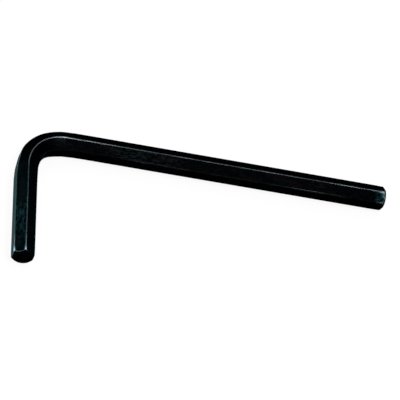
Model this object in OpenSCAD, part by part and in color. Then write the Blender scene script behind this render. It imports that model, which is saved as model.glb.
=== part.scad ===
/* [Bar] */
// Across flats, the size of the socket screw that the key drives
across_flats = 4; // [3:0.5:6]
// Rounding of the six corners of the drawn bar
corner_radius = 0.2; // [0.1:0.05:0.4]

/* [Arms] */
// Long arm, from its tip to the outside of the bend
long_arm = 71; // [50:0.5:100]
// Short arm, from its tip to the outside of the bend
short_arm = 28.5; // [20:0.5:40]

/* [Bend] */
// Radius of the flat on the inside of the bend
bend_inside_radius = 5.25; // [3:0.25:8]

/* [Tips] */
// How far the round face at each tip lies inside the flats
tip_inset = 0.3; // [0.1:0.05:0.6]
// Angle between the turned chamfer and the arm's axis
tip_chamfer_angle = 48; // [35:1:60]

/* [Hidden] */
$fn = 96;
half_flats = across_flats / 2;
// The centres of the six corner roundings lie on a circle round the bar's axis
corner_centre = (half_flats - corner_radius) / cos(30);
// The roundings stand proud of the flats by this hair, so that the two meet in one clean line
rounding_lap = 0.0001;
// Farthest that a corner reaches from the axis, which is also how high the axis lies
corner_reach = corner_centre + corner_radius;
// The bend turns about an axis this far from the axis of each arm
bend_axis = bend_inside_radius + half_flats;
// Each arm's length from the point where the two axes cross
long_end = long_arm - half_flats;
short_end = short_arm - half_flats;
tip_radius = half_flats - tip_inset;
chamfer_depth = (corner_reach - tip_radius) / tan(tip_chamfer_angle);
// The chamfer's cone goes on past the corners, to twice its depth
cone_radius = 2 * corner_reach - tip_radius;
cone_depth = 2 * chamfer_depth;

// Outline of the drawn bar, with flats toward the inside and the outside of the bend
module bar_profile() {
    union() {
        polygon([for (corner = [0 : 5]) for (side = [-30, 30])
            corner_centre * [cos(30 + 60 * corner), sin(30 + 60 * corner)]
            + corner_radius * [cos(30 + 60 * corner + side), sin(30 + 60 * corner + side)]]);
        for (corner = [0 : 5])
            rotate([0, 0, 30 + 60 * corner])
                translate([corner_centre, 0])
                    circle(r = corner_radius + rounding_lap);
    }
}

// Round bar with a turned point, whose cone cuts a curved scallop into every flat
module turned_point(length) {
    union() {
        cylinder(r = cone_radius, h = length - cone_depth);
        translate([0, 0, length - cone_depth])
            cylinder(r1 = cone_radius, r2 = tip_radius, h = cone_depth);
    }
}

// One straight arm along +Z, from the end of the bend to its chamfered tip
module arm(length) {
    intersection() {
        translate([0, 0, bend_axis])
            linear_extrude(height = length - bend_axis)
                bar_profile();
        turned_point(length);
    }
}

// Quarter turn of the bar, which joins the two arms
module bend() {
    translate([bend_axis, -bend_axis, 0])
        rotate([0, 0, 90])
            rotate_extrude(angle = 90)
                translate([bend_axis, 0])
                    bar_profile();
}

// The key lies flat on two corners, its long arm along +X and its short arm along -Y,
// with the origin under the middle of its bounding box
module hex_key() {
    color([0.07, 0.08, 0.085])
        translate([half_flats - long_arm / 2, short_arm / 2 - half_flats, corner_reach])
            union() {
                bend();
                rotate([0, 90, 0])
                    rotate([0, 0, 90])
                        arm(long_end);
                rotate([90, 0, 0])
                    arm(short_end);
            }
}

hex_key();
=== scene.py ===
# Hex key, one bent hexagonal bar of black oxide steel, lying on a white sheet lit from below.
import math

import bpy
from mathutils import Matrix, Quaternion, Vector


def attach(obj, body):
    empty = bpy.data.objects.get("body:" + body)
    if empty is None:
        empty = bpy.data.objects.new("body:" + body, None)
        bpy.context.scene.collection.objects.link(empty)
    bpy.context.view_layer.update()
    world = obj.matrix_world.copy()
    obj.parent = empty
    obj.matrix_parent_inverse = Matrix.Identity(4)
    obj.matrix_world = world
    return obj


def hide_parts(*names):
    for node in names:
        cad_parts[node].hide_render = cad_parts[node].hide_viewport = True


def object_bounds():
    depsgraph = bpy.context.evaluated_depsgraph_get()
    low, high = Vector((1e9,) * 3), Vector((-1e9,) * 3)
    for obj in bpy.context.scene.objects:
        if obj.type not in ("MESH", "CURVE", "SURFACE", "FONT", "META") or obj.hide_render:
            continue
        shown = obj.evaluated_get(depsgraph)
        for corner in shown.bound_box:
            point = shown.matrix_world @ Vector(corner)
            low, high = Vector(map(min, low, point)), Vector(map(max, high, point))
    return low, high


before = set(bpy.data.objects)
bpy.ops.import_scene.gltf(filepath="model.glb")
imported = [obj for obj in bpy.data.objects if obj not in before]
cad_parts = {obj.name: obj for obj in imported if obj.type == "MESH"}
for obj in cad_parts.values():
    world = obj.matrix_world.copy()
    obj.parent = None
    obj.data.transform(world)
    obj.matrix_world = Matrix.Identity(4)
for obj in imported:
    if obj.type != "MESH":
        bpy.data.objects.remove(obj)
bpy.context.view_layer.update()
cad_low, cad_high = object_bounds()

# Camera. The photograph looks down through a long lens from the side of the short arm, and the
# picture is turned until the long arm slopes a little down to the right.
photo_side = 400
focal_length_in_pixels = 5877
view_azimuth = math.radians(-22.41)
view_elevation = math.radians(53.54)
view_roll = math.radians(28.05)
view_distance = 1.0878
aim = Vector((-0.00016, 0.00499, 0.00228))

toward_camera = Vector((
    math.sin(view_azimuth) * math.cos(view_elevation),
    -math.cos(view_azimuth) * math.cos(view_elevation),
    math.sin(view_elevation),
))
bpy.ops.object.camera_add(location=aim + toward_camera * view_distance)
camera = bpy.context.object
camera.name = "camera"
upright = (-toward_camera).to_track_quat("-Z", "Y")
camera.rotation_mode = "QUATERNION"
camera.rotation_quaternion = upright @ Quaternion((0, 0, 1), view_roll)
camera.data.lens = focal_length_in_pixels / photo_side * camera.data.sensor_width
camera.data.clip_start = 0.1
camera.data.clip_end = 20
bpy.context.scene.camera = camera

# The bar. Hexagonal steel is drawn with slightly rounded corners, cut off and bent cold round a
# former, and the key lies on the lowest ridge of each arm. This piece stands for the plain CAD
# one, because bending changes the section and use wears the corners.
across_flats = 0.004
half_side_angle = math.radians(30)
corner_radius = 0.0002
corner_steps = 6
bend_inside_radius = 0.00503
bend_steps = 48
ring_spacing = 0.002
merge_distance = 1e-7

half_flats = across_flats / 2
across_corners = across_flats / math.cos(half_side_angle)
bend_radius = bend_inside_radius + half_flats
axis_height = cad_high.z / 2
long_arm_y = cad_high.y - half_flats
short_arm_x = cad_low.x + half_flats
bend_centre = Vector((short_arm_x + bend_radius, long_arm_y - bend_radius, axis_height))
short_length = bend_centre.y - cad_low.y
long_length = cad_high.x - bend_centre.x
bend_length = bend_radius * math.pi / 2
bar_length = short_length + bend_length + long_length


def extrude_in_rings(direction, length):
    """Extends the bar by this length, with a ring of edges at every step."""
    steps = round(length / ring_spacing)
    bpy.ops.mesh.extrude_repeat(steps=steps, offset=Vector(direction) * length / steps)


def close_surface():
    """Merges what lies in one place and turns every face outwards."""
    bpy.ops.mesh.select_all(action="SELECT")
    bpy.ops.mesh.remove_doubles(threshold=merge_distance)
    bpy.ops.mesh.normals_make_consistent(inside=False)


bpy.ops.object.select_all(action="DESELECT")
bpy.ops.mesh.primitive_circle_add(
    vertices=6,
    radius=across_corners / 2,
    fill_type="NGON",
    location=(short_arm_x, cad_low.y, axis_height),
    rotation=(math.pi / 2, 0, 0),
)
key = bpy.context.object
key.name = "hex_key_steel"
bpy.ops.object.transform_apply(location=True, rotation=True, scale=True)
bpy.ops.object.mode_set(mode="EDIT")
bpy.ops.mesh.select_all(action="SELECT")
bpy.ops.mesh.bevel(
    offset=corner_radius * math.tan(half_side_angle),
    segments=corner_steps,
    profile=0.5,
    affect="VERTICES",
)
bpy.ops.mesh.select_all(action="SELECT")
extrude_in_rings((0, 1, 0), short_length)
bpy.ops.mesh.spin(steps=bend_steps, angle=math.pi / 2, center=bend_centre, axis=(0, 0, 1))
extrude_in_rings((1, 0, 0), long_length)
close_surface()
bpy.ops.object.mode_set(mode="OBJECT")

# The bend's section. Cold bending draws the outer half of the bar in, and presses the inner half
# thicker at both ends of the bend and thinner between them. Each swell has its place from the
# start of the bend, its length, and its amount as a share of the half's thickness.
outer_swells = ((0.00125, 0.0015, -0.13), (0.0055, 0.003, -0.08), (0.0093, 0.00225, -0.095))
inner_swells = ((0.00235, 0.0025, 0.1), (0.0055, 0.002, -0.065), (0.0094, 0.0026, 0.135))


def place_on_bar(point):
    """How far along the bar a point is, its foot on the bar's axis, and the way outward there."""
    beyond = point - bend_centre
    if beyond.x >= 0:
        along = short_length + bend_length + beyond.x
        return along, Vector((point.x, long_arm_y, axis_height)), Vector((0, 1, 0))
    if beyond.y <= 0:
        along = short_length + beyond.y
        return along, Vector((short_arm_x, point.y, axis_height)), Vector((-1, 0, 0))
    outward = Vector((beyond.x, beyond.y, 0)).normalized()
    along = short_length + bend_radius * math.atan2(outward.y, -outward.x)
    return along, bend_centre + outward * bend_radius, outward


def share_kept(along, offset):
    """Share of its distance from the axis that the steel keeps, on the outer or the inner side."""
    swells = outer_swells if offset > 0 else inner_swells
    into_bend = along - short_length
    return 1 + sum(
        amount * math.exp(-(((into_bend - centre) / length) ** 2))
        for centre, length, amount in swells
    )


for vertex in key.data.vertices:
    along, foot, outward = place_on_bar(vertex.co)
    offset = (vertex.co - foot).dot(outward)
    vertex.co += outward * offset * (share_kept(along, offset) - 1)

# The tips. Each end is turned to a blunt point with a flat round face, and use has worn the six
# corners beside it. A ring cuts both: its hole is conical at the point, and past the point it is
# nearly straight.
tip_inset = 0.0003
tip_chamfer_angle = math.radians(48)
worn_reach = 0.00223
worn_length = 0.0016
ring_sides = 144
ring_wall = 0.001
ring_overlap = 0.0005

corner_reach = (half_flats - corner_radius) / math.cos(half_side_angle) + corner_radius
tip_radius = half_flats - tip_inset
point_length = (worn_reach - tip_radius) / math.tan(tip_chamfer_angle)
wear_slope = (corner_reach - worn_reach) / worn_length


def turn_point(name, tip, outward_turn):
    """Cuts the ring out of the bar, at a tip whose way outward is +Z turned by these angles."""
    hole_at_face = tip_radius - ring_overlap * math.tan(tip_chamfer_angle)
    hole_at_back = corner_reach + ring_overlap * wear_slope
    ring_radius = hole_at_back + ring_wall
    ring_height = worn_length + point_length + 2 * ring_overlap
    bpy.ops.object.select_all(action="DESELECT")
    bpy.ops.mesh.primitive_circle_add(
        vertices=ring_sides,
        radius=hole_at_face,
        fill_type="NOTHING",
        location=(0, 0, ring_overlap),
    )
    ring = bpy.context.object
    ring.name = name
    bpy.ops.object.transform_apply(location=True, rotation=True, scale=True)
    bpy.ops.object.mode_set(mode="EDIT")
    bpy.ops.mesh.select_all(action="SELECT")
    radius = hole_at_face
    for next_radius, step in (
        (worn_reach, -ring_overlap - point_length),
        (hole_at_back, -worn_length - ring_overlap),
        (ring_radius, 0),
        (ring_radius, ring_height),
        (hole_at_face, 0),
    ):
        bpy.ops.mesh.extrude_edges_move()
        bpy.ops.transform.resize(value=(next_radius / radius, next_radius / radius, 1))
        bpy.ops.transform.translate(value=(0, 0, step))
        radius = next_radius
    close_surface()
    bpy.ops.object.mode_set(mode="OBJECT")
    ring.rotation_euler = outward_turn
    ring.location = tip
    cut = key.modifiers.new(name, "BOOLEAN")
    cut.operation = "DIFFERENCE"
    cut.solver = "EXACT"
    cut.object = ring
    bpy.ops.object.select_all(action="DESELECT")
    bpy.context.view_layer.objects.active = key
    key.select_set(True)
    bpy.ops.object.modifier_apply(modifier=name)
    bpy.data.objects.remove(ring)


turn_point("short_tip", (short_arm_x, cad_low.y, axis_height), (math.pi / 2, 0, 0))
turn_point("long_tip", (cad_high.x, long_arm_y, axis_height), (0, math.pi / 2, 0))

# Soft edges. The edges that turning cuts are broken by handling and a little soft, while the
# flats stay flat up to their corners, so the shading follows the large faces.
edge_softness = 0.00005
edge_steps = 3
softened_angle = math.radians(30)
smooth_angle = math.radians(35)

soften = key.modifiers.new("soft_edges", "BEVEL")
soften.width = edge_softness
soften.segments = edge_steps
soften.limit_method = "ANGLE"
soften.angle_limit = softened_angle
bpy.ops.object.modifier_apply(modifier="soft_edges")
bpy.ops.object.shade_smooth_by_angle(angle=smooth_angle)
weigh = key.modifiers.new("flat_faces", "WEIGHTED_NORMAL")
weigh.keep_sharp = True
bpy.ops.object.modifier_apply(modifier="flat_faces")

# The straight bar. Grain, clouds and wear follow the bar round its bend, so every point keeps its
# place on the straight bar, in millimetres: along it from the short tip, outward from its axis,
# and up. Places, widths and distances in the masks below are in these millimetres too.
mm = 1000
bar = key.data.attributes.new("bar", "FLOAT_VECTOR", "POINT")
for vertex, on_bar in zip(key.data.vertices, bar.data):
    along, foot, outward = place_on_bar(vertex.co)
    offset = (vertex.co - foot).dot(outward)
    offset /= share_kept(along, offset)
    on_bar.vector = (along * mm, offset * mm, (vertex.co.z - axis_height) * mm)

# Wear. Handling rubs the black off the six drawn ridges and off the edges that turning cut, most
# of all in the bend and at the tips, and one flat of the long tip is scuffed. Both finishes below
# take their masks of it from one group of nodes.
bar_end = bar_length * mm
held_place = (short_length + bend_length * 0.85) * mm
least_rubbed = 0.32
least_rubbed_inside = 0.04
# Stretches of the inner side, each with its middle, half length and strength
rubbed_inside = ((49, 9, 0.9), (62, 16, 0.4), (77, 9, 3.4))


def add_node(nodes, kind, values, **settings):
    """A node with its settings, and each input given a value or joined to a socket."""
    node = nodes.new(kind)
    for name, setting in settings.items():
        setattr(node, name, setting)
    for name, value in values.items():
        if isinstance(value, bpy.types.NodeSocket):
            node.id_data.links.new(value, node.inputs[name])
        else:
            node.inputs[name].default_value = value
    return node


def reckon(nodes, operation, *numbers):
    """The result of one step of arithmetic."""
    step = add_node(nodes, "ShaderNodeMath", dict(enumerate(numbers)), operation=operation)
    return step.outputs[0]


def add_shares(nodes, start, *shares):
    """The start value plus each mask times its share."""
    total = start
    for mask, share in shares:
        total = reckon(nodes, "MULTIPLY_ADD", mask, share, total)
    return total


def ramp(nodes, value, none_at, full_at):
    """A mask that rises softly from 0 to 1 between two values."""
    inputs = {"Value": value, "From Min": none_at, "From Max": full_at}
    rise = add_node(nodes, "ShaderNodeMapRange", inputs, interpolation_type="SMOOTHSTEP")
    return rise.outputs["Result"]


def grain(nodes, place, stretch, scale, detail, roughness):
    """Noise at a place on the bar, drawn out in each direction whose stretch is below 1."""
    drawn_out = add_node(nodes, "ShaderNodeVectorMath", {0: place, 1: stretch}, operation="MULTIPLY")
    inputs = {
        "Vector": drawn_out.outputs[0],
        "Scale": scale,
        "Detail": detail,
        "Roughness": roughness,
    }
    return add_node(nodes, "ShaderNodeTexNoise", inputs).outputs["Fac"]


def split(nodes, place):
    """A place's distance along the bar, outward and up."""
    return add_node(nodes, "ShaderNodeSeparateXYZ", {0: place}).outputs


def from_axis(nodes, out, up):
    """Distance from the bar's axis."""
    squares = reckon(nodes, "ADD",
        reckon(nodes, "MULTIPLY", out, out), reckon(nodes, "MULTIPLY", up, up))
    return reckon(nodes, "SQRT", squares)


def stretches(nodes, along, least, places):
    """Mask of soft stretches of the bar, each given by its middle, half length and strength."""
    mask = least
    for middle, half_length, strength in places:
        away = reckon(nodes, "ABSOLUTE", reckon(nodes, "SUBTRACT", along, middle))
        near = ramp(nodes, away, none_at=half_length, full_at=0.0)
        mask = reckon(nodes, "MAXIMUM", mask, reckon(nodes, "MULTIPLY", near, strength))
    return mask


def start_group(name, inputs, outputs):
    """A group of nodes that is given the place on the bar and some numbers."""
    group = bpy.data.node_groups.new(name, "ShaderNodeTree")
    for socket in inputs:
        kind = "NodeSocketVector" if socket == "Bar" else "NodeSocketFloat"
        group.interface.new_socket(socket, in_out="INPUT", socket_type=kind)
    for socket in outputs:
        group.interface.new_socket(socket, in_out="OUTPUT", socket_type="NodeSocketFloat")
    return group, group.nodes, group.nodes.new("NodeGroupInput").outputs


def end_group(group, masks):
    """Joins the masks to the outputs of the group."""
    add_node(group.nodes, "NodeGroupOutput", masks)
    return group


def mask_ridges(nodes, from_tip, radius, width):
    """Mask of the six ridges, and how far below the rounded or worn corners a point lies."""
    worn_corner = reckon(nodes, "MULTIPLY_ADD",
        from_tip, wear_slope, (worn_reach - point_length * wear_slope) * mm)
    corner = reckon(nodes, "MINIMUM", worn_corner, corner_reach * mm)
    below_corner = reckon(nodes, "SUBTRACT", corner, radius)
    return ramp(nodes, below_corner, none_at=width, full_at=0.004), below_corner


def mask_cut_edges(nodes, from_tip, out, up, radius, below_corner, width):
    """Mask of the edges between the drawn surface, the turned cone and the end face."""
    half_out = reckon(nodes, "MULTIPLY", out, math.sin(half_side_angle))
    most_up = reckon(nodes, "MULTIPLY", up, math.cos(half_side_angle))
    across = reckon(nodes, "ABSOLUTE", out)
    for operation in ("ADD", "SUBTRACT"):
        toward_flat = reckon(nodes, "ABSOLUTE", reckon(nodes, operation, half_out, most_up))
        across = reckon(nodes, "MAXIMUM", across, toward_flat)
    under_flat = reckon(nodes, "SUBTRACT", half_flats * mm, across)
    under_bar = reckon(nodes, "MINIMUM", under_flat, below_corner)
    cone = reckon(nodes, "MULTIPLY_ADD", from_tip, math.tan(tip_chamfer_angle), tip_radius * mm)
    under_cone = reckon(nodes, "MULTIPLY",
        reckon(nodes, "SUBTRACT", cone, radius), math.cos(tip_chamfer_angle))
    # An edge is where two of the three surfaces meet, so the second least depth is small there
    nearer = reckon(nodes, "MINIMUM", under_bar, under_cone)
    farther = reckon(nodes, "MAXIMUM", under_bar, under_cone)
    from_edge = reckon(nodes, "MAXIMUM", nearer, reckon(nodes, "MINIMUM", farther, from_tip))
    return ramp(nodes, from_edge, none_at=width, full_at=0.01)


def make_worn_edges():
    """Masks of the rubbed ridges, of the rubbed cut edges and of the scuff."""
    group, nodes, given = start_group(
        "worn_edges", ["Bar", "Ridge Width", "Cut Width", "Patchiness"], ["Ridge", "Cut", "Scuff"]
    )
    place = given["Bar"]
    along, out, up = split(nodes, place)
    radius = from_axis(nodes, out, up)
    from_tip = reckon(nodes, "MINIMUM", along, reckon(nodes, "SUBTRACT", bar_end, along))
    at_tip = ramp(nodes, from_tip, none_at=1.9, full_at=0.5)
    at_long_tip = ramp(nodes, along, none_at=bar_end - 2.6, full_at=bar_end - 0.8)
    ridge_width = add_shares(nodes, given["Ridge Width"], (at_tip, 0.04), (at_long_tip, 0.05))
    on_ridge, below_corner = mask_ridges(nodes, from_tip, radius, ridge_width)
    on_cut = mask_cut_edges(nodes, from_tip, out, up, radius, below_corner, given["Cut Width"])

    # The rubbing is patchy, and strongest where the key is held and toward both tips
    patches = grain(nodes, place, stretch=(0.35, 1, 1), scale=0.8, detail=4, roughness=0.6)
    patches = ramp(nodes, patches, none_at=0.35, full_at=0.65)
    even = reckon(nodes, "SUBTRACT", 1.0, given["Patchiness"])
    amount = reckon(nodes, "MULTIPLY_ADD", patches, given["Patchiness"], even)
    from_hold = reckon(nodes, "ABSOLUTE", reckon(nodes, "SUBTRACT", along, held_place))
    handled = reckon(nodes, "MAXIMUM",
        ramp(nodes, from_hold, none_at=13.0, full_at=4.0),
        ramp(nodes, from_tip, none_at=8.0, full_at=0.5))
    handled = reckon(nodes, "MAXIMUM", handled, ramp(nodes, along, none_at=79.0, full_at=92.0))
    rubbing = add_shares(nodes, least_rubbed, (handled, 1 - least_rubbed))
    amount = reckon(nodes, "MULTIPLY", amount, rubbing)

    # The ridges on the inner side are rubbed in some stretches and sheltered between them
    inside = ramp(nodes, out, none_at=-0.6, full_at=-1.4)
    inner_rubbing = stretches(nodes, along, least_rubbed_inside, rubbed_inside)
    inner_change = reckon(nodes, "SUBTRACT", inner_rubbing, 1.0)
    side_rubbing = reckon(nodes, "MULTIPLY_ADD", inside, inner_change, 1.0)
    amount = reckon(nodes, "MULTIPLY", amount, side_rubbing)

    # The short tip is rubbed on its outer side, and the long tip on its inner side
    toward_long_tip = ramp(nodes, along, none_at=40.0, full_at=60.0)
    side = add_shares(nodes, 1.0, (toward_long_tip, -2.0))
    rubbed_side = ramp(nodes, reckon(nodes, "MULTIPLY", out, side), none_at=-0.9, full_at=0.1)
    rubbed_tip = reckon(nodes, "MULTIPLY", at_tip, rubbed_side)
    amount = add_shares(nodes, amount, (rubbed_tip, 0.95))
    on_cut = reckon(nodes, "MULTIPLY", on_cut, add_shares(nodes, 0.1, (rubbed_side, 0.9)))

    # The scuff covers the upper inner flat of the long tip
    scuff = grain(nodes, place, stretch=(0.8, 1, 1), scale=1.7, detail=4, roughness=0.65)
    scuff = reckon(nodes, "MULTIPLY", ramp(nodes, scuff, none_at=0.38, full_at=0.68), at_long_tip)
    on_one_flat = reckon(nodes, "MULTIPLY",
        ramp(nodes, out, none_at=0.15, full_at=-0.15), ramp(nodes, up, none_at=0.9, full_at=1.3))
    return end_group(group, {
        "Ridge": reckon(nodes, "MULTIPLY", on_ridge, amount),
        "Cut": reckon(nodes, "MULTIPLY", on_cut, amount),
        "Scuff": reckon(nodes, "MULTIPLY", scuff, on_one_flat),
    })


worn_edges = make_worn_edges()

# Oxide. The black grows in a hot salt bath, in cloudy patches that look teal where it is thin,
# with a little brown rust and fine specks. A second group of nodes has its masks.
least_cloudy = 0.1
# Stretches of thin oxide, each with its middle, half length and strength
cloudy_stretches = ((7.5, 8, 1.0), (45, 13, 0.65), (79.5, 5, 0.25))


def make_oxide_clouds():
    """Masks of the clouds, of the rust and of the specks; the clouds are thinned on the short arm's
    inner side as painted shade.
    """
    group, nodes, given = start_group(
        "oxide_clouds", ["Bar", "Size"], ["Clouds", "Rust", "Specks"]
    )
    place = given["Bar"]
    along, out, _ = split(nodes, place)
    scale = reckon(nodes, "DIVIDE", 1.0, given["Size"])
    clouds = grain(nodes, place, stretch=(0.4, 1, 1), scale=scale, detail=6, roughness=0.66)
    rust = grain(nodes, place, stretch=(0.3, 0.8, 0.8), scale=0.55, detail=4, roughness=0.6)
    specks = grain(nodes, place, stretch=(1, 1, 1), scale=9, detail=3, roughness=0.6)

    # Painted shade: few clouds show on the inner side of the short arm, which lies in shade, so it
    # stays darker
    thin = stretches(nodes, along, least_cloudy, cloudy_stretches)
    on_short_arm = ramp(nodes, along, none_at=26.0, full_at=16.0)
    inner_side = ramp(nodes, out, none_at=0.2, full_at=-0.2)
    painted_shade = reckon(nodes, "MULTIPLY", inner_side, on_short_arm)
    thin = reckon(nodes, "MULTIPLY", thin, add_shares(nodes, 1.0, (painted_shade, -0.85)))
    clouds = ramp(nodes, clouds, none_at=0.45, full_at=0.61)
    return end_group(group, {
        "Clouds": reckon(nodes, "MULTIPLY", clouds, thin),
        "Rust": ramp(nodes, rust, none_at=0.52, full_at=0.62),
        "Specks": ramp(nodes, specks, none_at=0.35, full_at=0.75),
    })


oxide_clouds = make_oxide_clouds()

# Drawn finish. The flats are drawn steel under the oxide, with the fine lines that the die leaves
# along them, and bare bright steel where the ridges and cut edges are rubbed.
grazing_tint = (0.6, 0.9, 1.0, 1.0)
rubbed_steel = (0.32, 0.39, 0.44, 1)
bright_steel = (0.56, 0.76, 0.8, 1)
drawn_oxide = (0.0005, 0.0007, 0.001, 1)
drawn_clouds = (0.0009, 0.0032, 0.0044, 1)
brown_rust = (0.0036, 0.0012, 0.001, 1)
scuffed_oxide = (0.004, 0.064, 0.08, 1)
scuffed_steel = (0.056, 0.168, 0.184, 1)
steel_on_ridges = 0.6
drawn_roughness = 0.17
die_line_depth = 0.000006
oxide_metal = 0.95

# A Mix node takes its two colours at these inputs and gives the mixed one at this output
mix_first = 6
mix_second = 7
mix_result = 2


def blend(nodes, mask, first, second, blend_type="MIX"):
    """Two colours mixed by a mask."""
    inputs = {"Factor": mask, mix_first: first, mix_second: second}
    mix = add_node(nodes, "ShaderNodeMix", inputs, data_type="RGBA", blend_type=blend_type)
    return mix.outputs[mix_result]


def start_finish(name, ridge_width, cut_width, patchiness, cloud_size):
    """A steel material, the place on the bar, and the masks of its wear and of its oxide."""
    steel = bpy.data.materials.new(name)
    steel.use_nodes = True
    nodes = steel.node_tree.nodes
    place = add_node(nodes, "ShaderNodeAttribute", {}, attribute_name="bar").outputs["Vector"]
    inputs = {
        "Bar": place,
        "Ridge Width": ridge_width,
        "Cut Width": cut_width,
        "Patchiness": patchiness,
    }
    wear = add_node(nodes, "ShaderNodeGroup", inputs, node_tree=worn_edges)
    inputs = {"Bar": place, "Size": cloud_size}
    oxide = add_node(nodes, "ShaderNodeGroup", inputs, node_tree=oxide_clouds)
    return steel, place, wear.outputs, oxide.outputs


def end_finish(steel, colour, worn, dull, roughness, height, depth):
    """Joins a finish to its shader: all metal where it is worn, and least so where it is dull."""
    nodes = steel.node_tree.nodes
    blackened = add_shares(nodes, oxide_metal, (dull, -0.7))
    metal = reckon(nodes, "MAXIMUM", ramp(nodes, worn, none_at=0.0, full_at=0.25), blackened)
    bump = add_node(nodes, "ShaderNodeBump", {"Height": height, "Distance": depth})
    skin = nodes["Principled BSDF"]
    skin.inputs["Specular Tint"].default_value = grazing_tint
    links = steel.node_tree.links
    links.new(colour, skin.inputs["Base Color"])
    links.new(roughness, skin.inputs["Roughness"])
    links.new(metal, skin.inputs["Metallic"])
    links.new(bump.outputs[0], skin.inputs["Normal"])
    return steel


def make_drawn_finish():
    """Oxide on drawn steel, with its clouds, rust, die lines, rubbed ridges and scuff."""
    steel, place, wear, oxide = start_finish(
        "black_oxide_drawn", ridge_width=0.07, cut_width=0.09, patchiness=0.6, cloud_size=0.42
    )
    nodes = steel.node_tree.nodes
    scuff = wear["Scuff"]
    die_lines = grain(nodes, place, stretch=(0.012, 1, 1), scale=7, detail=3, roughness=0.6)
    fine_lines = grain(nodes, place, stretch=(0.03, 1, 1), scale=22, detail=2, roughness=0.6)
    colour = blend(nodes, oxide["Clouds"], drawn_oxide, drawn_clouds)
    colour = blend(nodes, oxide["Rust"], colour, brown_rust)
    deep_scuff = ramp(nodes, scuff, none_at=0.7, full_at=1.0)
    colour = blend(nodes, scuff, colour, blend(nodes, deep_scuff, scuffed_oxide, scuffed_steel))
    worn = reckon(nodes, "MAXIMUM", wear["Ridge"], wear["Cut"])
    polish = ramp(nodes, worn, none_at=0.9, full_at=1.5)
    bare_colour = blend(nodes, polish, rubbed_steel, bright_steel)
    bare = reckon(nodes, "MULTIPLY", worn, steel_on_ridges)
    colour = blend(nodes, bare, colour, bare_colour)
    dull = reckon(nodes, "MAXIMUM", oxide["Clouds"], scuff)
    dull_rust = reckon(nodes, "MULTIPLY", oxide["Rust"], 0.1)
    dull = reckon(nodes, "MAXIMUM", dull, dull_rust)
    roughness = add_shares(nodes, drawn_roughness,
        (die_lines, 0.12), (oxide["Specks"], 0.08), (scuff, 0.15), (worn, 0.08))
    height = add_shares(nodes, die_lines, (fine_lines, 0.35), (oxide["Specks"], 0.3))
    return end_finish(steel, colour, worn, dull, roughness, height, die_line_depth)


key.data.materials.append(make_drawn_finish())

# Turned finish. The cones and end faces of the tips carry the same oxide over the fine rings that
# the turning tool leaves, and only their edges are rubbed.
turned_oxide = (0.0006, 0.0008, 0.001, 1)
turned_clouds = (0.002, 0.0032, 0.0038, 1)
steel_on_turned_edges = 0.2
turned_roughness = 0.3
tool_ring_depth = 0.000012
tip_material = 1
# A face whose middle is this near to the turned cone or to the end plane belongs to the tip
near_cone = 0.00003
near_end_plane = 0.00001


def make_turned_finish():
    """Oxide on turned steel, with its clouds, tool rings and rubbed edges."""
    steel, place, wear, oxide = start_finish(
        "black_oxide_turned", ridge_width=0.03, cut_width=0.06, patchiness=0.7, cloud_size=0.7
    )
    nodes = steel.node_tree.nodes
    _, out, up = split(nodes, place)
    ring_place = add_node(nodes, "ShaderNodeCombineXYZ", {0: from_axis(nodes, out, up)}).outputs[0]
    rings = grain(nodes, ring_place, stretch=(1, 1, 1), scale=12, detail=3, roughness=0.7)
    colour = blend(nodes, oxide["Clouds"], turned_oxide, turned_clouds)
    bare = reckon(nodes, "MULTIPLY", wear["Cut"], steel_on_turned_edges)
    colour = blend(nodes, bare, colour, rubbed_steel)
    roughness = add_shares(nodes, turned_roughness, (rings, 0.2))
    height = add_shares(nodes, rings, (oxide["Specks"], 0.8))
    return end_finish(
        steel, colour, wear["Cut"], oxide["Clouds"], roughness, height, tool_ring_depth
    )


key.data.materials.append(make_turned_finish())
for face in key.data.polygons:
    along, foot, _ = place_on_bar(face.center)
    from_tip = min(along, bar_length - along)
    cone_radius = tip_radius + from_tip * math.tan(tip_chamfer_angle)
    if (face.center - foot).length > cone_radius - near_cone or from_tip < near_end_plane:
        face.material_index = tip_material

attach(key, "root")
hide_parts("hex_key")

# Floor. The key lies on a wide sheet of matt white acrylic, lit from below until it looks plain
# white. The steel doesn't mirror it.
bpy.ops.object.select_all(action="DESELECT")
bpy.ops.mesh.primitive_plane_add(size=6)
floor = bpy.context.object
floor.name = "floor"
light_table = bpy.data.materials.new("light_table")
light_table.use_nodes = True
skin = light_table.node_tree.nodes["Principled BSDF"]
skin.inputs["Base Color"].default_value = (0.08, 0.08, 0.08, 1)
skin.inputs["Roughness"].default_value = 1
skin.inputs["Specular IOR Level"].default_value = 0
skin.inputs["Emission Color"].default_value = (1, 1, 1, 1)
skin.inputs["Emission Strength"].default_value = 0.91
floor.data.materials.append(light_table)
floor.visible_glossy = False

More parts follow.
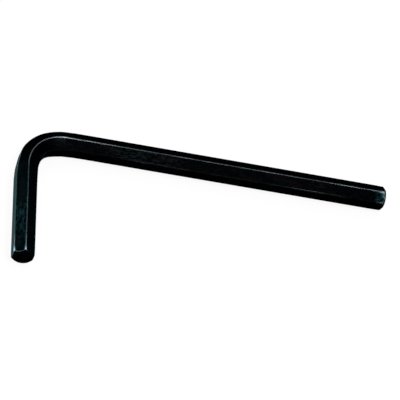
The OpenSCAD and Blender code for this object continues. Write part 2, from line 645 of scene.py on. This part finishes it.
# Studio. A pale tent lights everything evenly. The steel mirrors a dim room instead, with soft
# cards far off in it: each has its direction, how near to that direction its edge and its full
# part come, as cosines, and its colour.
dim_room = (0.003, 0.0035, 0.004, 1)
black = (0, 0, 0, 1)
white = (1, 1, 1, 1)
cards = (
    ((-0.7, 0.4, -0.6), 0.6, 0.9, (0.25, 0.28, 0.24, 1)),
    ((-0.8, 0.55, -0.25), 0.88, 0.98, (1.2, 1.4, 1.4, 1)),
    ((-0.62, 0.42, 0.66), 0.945, 0.985, (0.28, 0.92, 0.98, 1)),
    ((0.22, -0.82, 0.5), 0.93, 0.99, (0.05, 0.07, 0.08, 1)),
    ((0.95, 0.23, -0.22), 0.8, 0.97, (0.1, 0.45, 0.5, 1)),
)

bpy.context.scene.view_settings.view_transform = "Standard"
tent = bpy.data.worlds.new("tent")
bpy.context.scene.world = tent
tent.use_nodes = True
tent.cycles.sampling_method = "NONE"
nodes = tent.node_tree.nodes
nodes.clear()
way = add_node(nodes, "ShaderNodeTexCoord", {}).outputs["Generated"]
room_light = dim_room
for direction, edge, full, colour in cards:
    inputs = {0: way, 1: Vector(direction).normalized()}
    toward = add_node(nodes, "ShaderNodeVectorMath", inputs, operation="DOT_PRODUCT")
    on_card = ramp(nodes, toward.outputs["Value"], none_at=edge, full_at=full)
    card_light = blend(nodes, on_card, black, colour)
    room_light = blend(nodes, 1.0, room_light, card_light, blend_type="ADD")
room = add_node(nodes, "ShaderNodeBackground", {"Color": room_light, "Strength": 1})
pale = add_node(nodes, "ShaderNodeBackground", {"Color": white, "Strength": 1})
mirrored = add_node(nodes, "ShaderNodeLightPath", {}).outputs["Is Glossy Ray"]
inputs = {0: mirrored, 1: pale.outputs[0], 2: room.outputs[0]}
both = add_node(nodes, "ShaderNodeMixShader", inputs)
add_node(nodes, "ShaderNodeOutputWorld", {"Surface": both.outputs[0]})

# Softboxes. Four square softboxes hang round the key, all at one distance and out of the
# camera's sight, and draw the bright lines along its ridges.
softbox_distance = 0.8
softboxes = (
    ("softbox_over", (0.2, -0.1, 0.97), 0.2, 1.5),
    ("softbox_behind", (0.06, 0.56, 0.82), 0.35, 0.9),
    ("softbox_left", (-0.78, -0.5, 0.4), 0.25, 0.6),
    ("softbox_right", (0.8, -0.45, 0.38), 0.25, 0.6),
)
for name, direction, side, power in softboxes:
    hung_at = Vector(direction).normalized() * softbox_distance
    bpy.ops.object.light_add(type="AREA", location=hung_at)
    softbox = bpy.context.object
    softbox.name = name
    softbox.data.shape = "SQUARE"
    softbox.data.size = side
    softbox.data.energy = power
    softbox.rotation_euler = (-hung_at).to_track_quat("-Z", "Y").to_euler()
    softbox.visible_camera = False
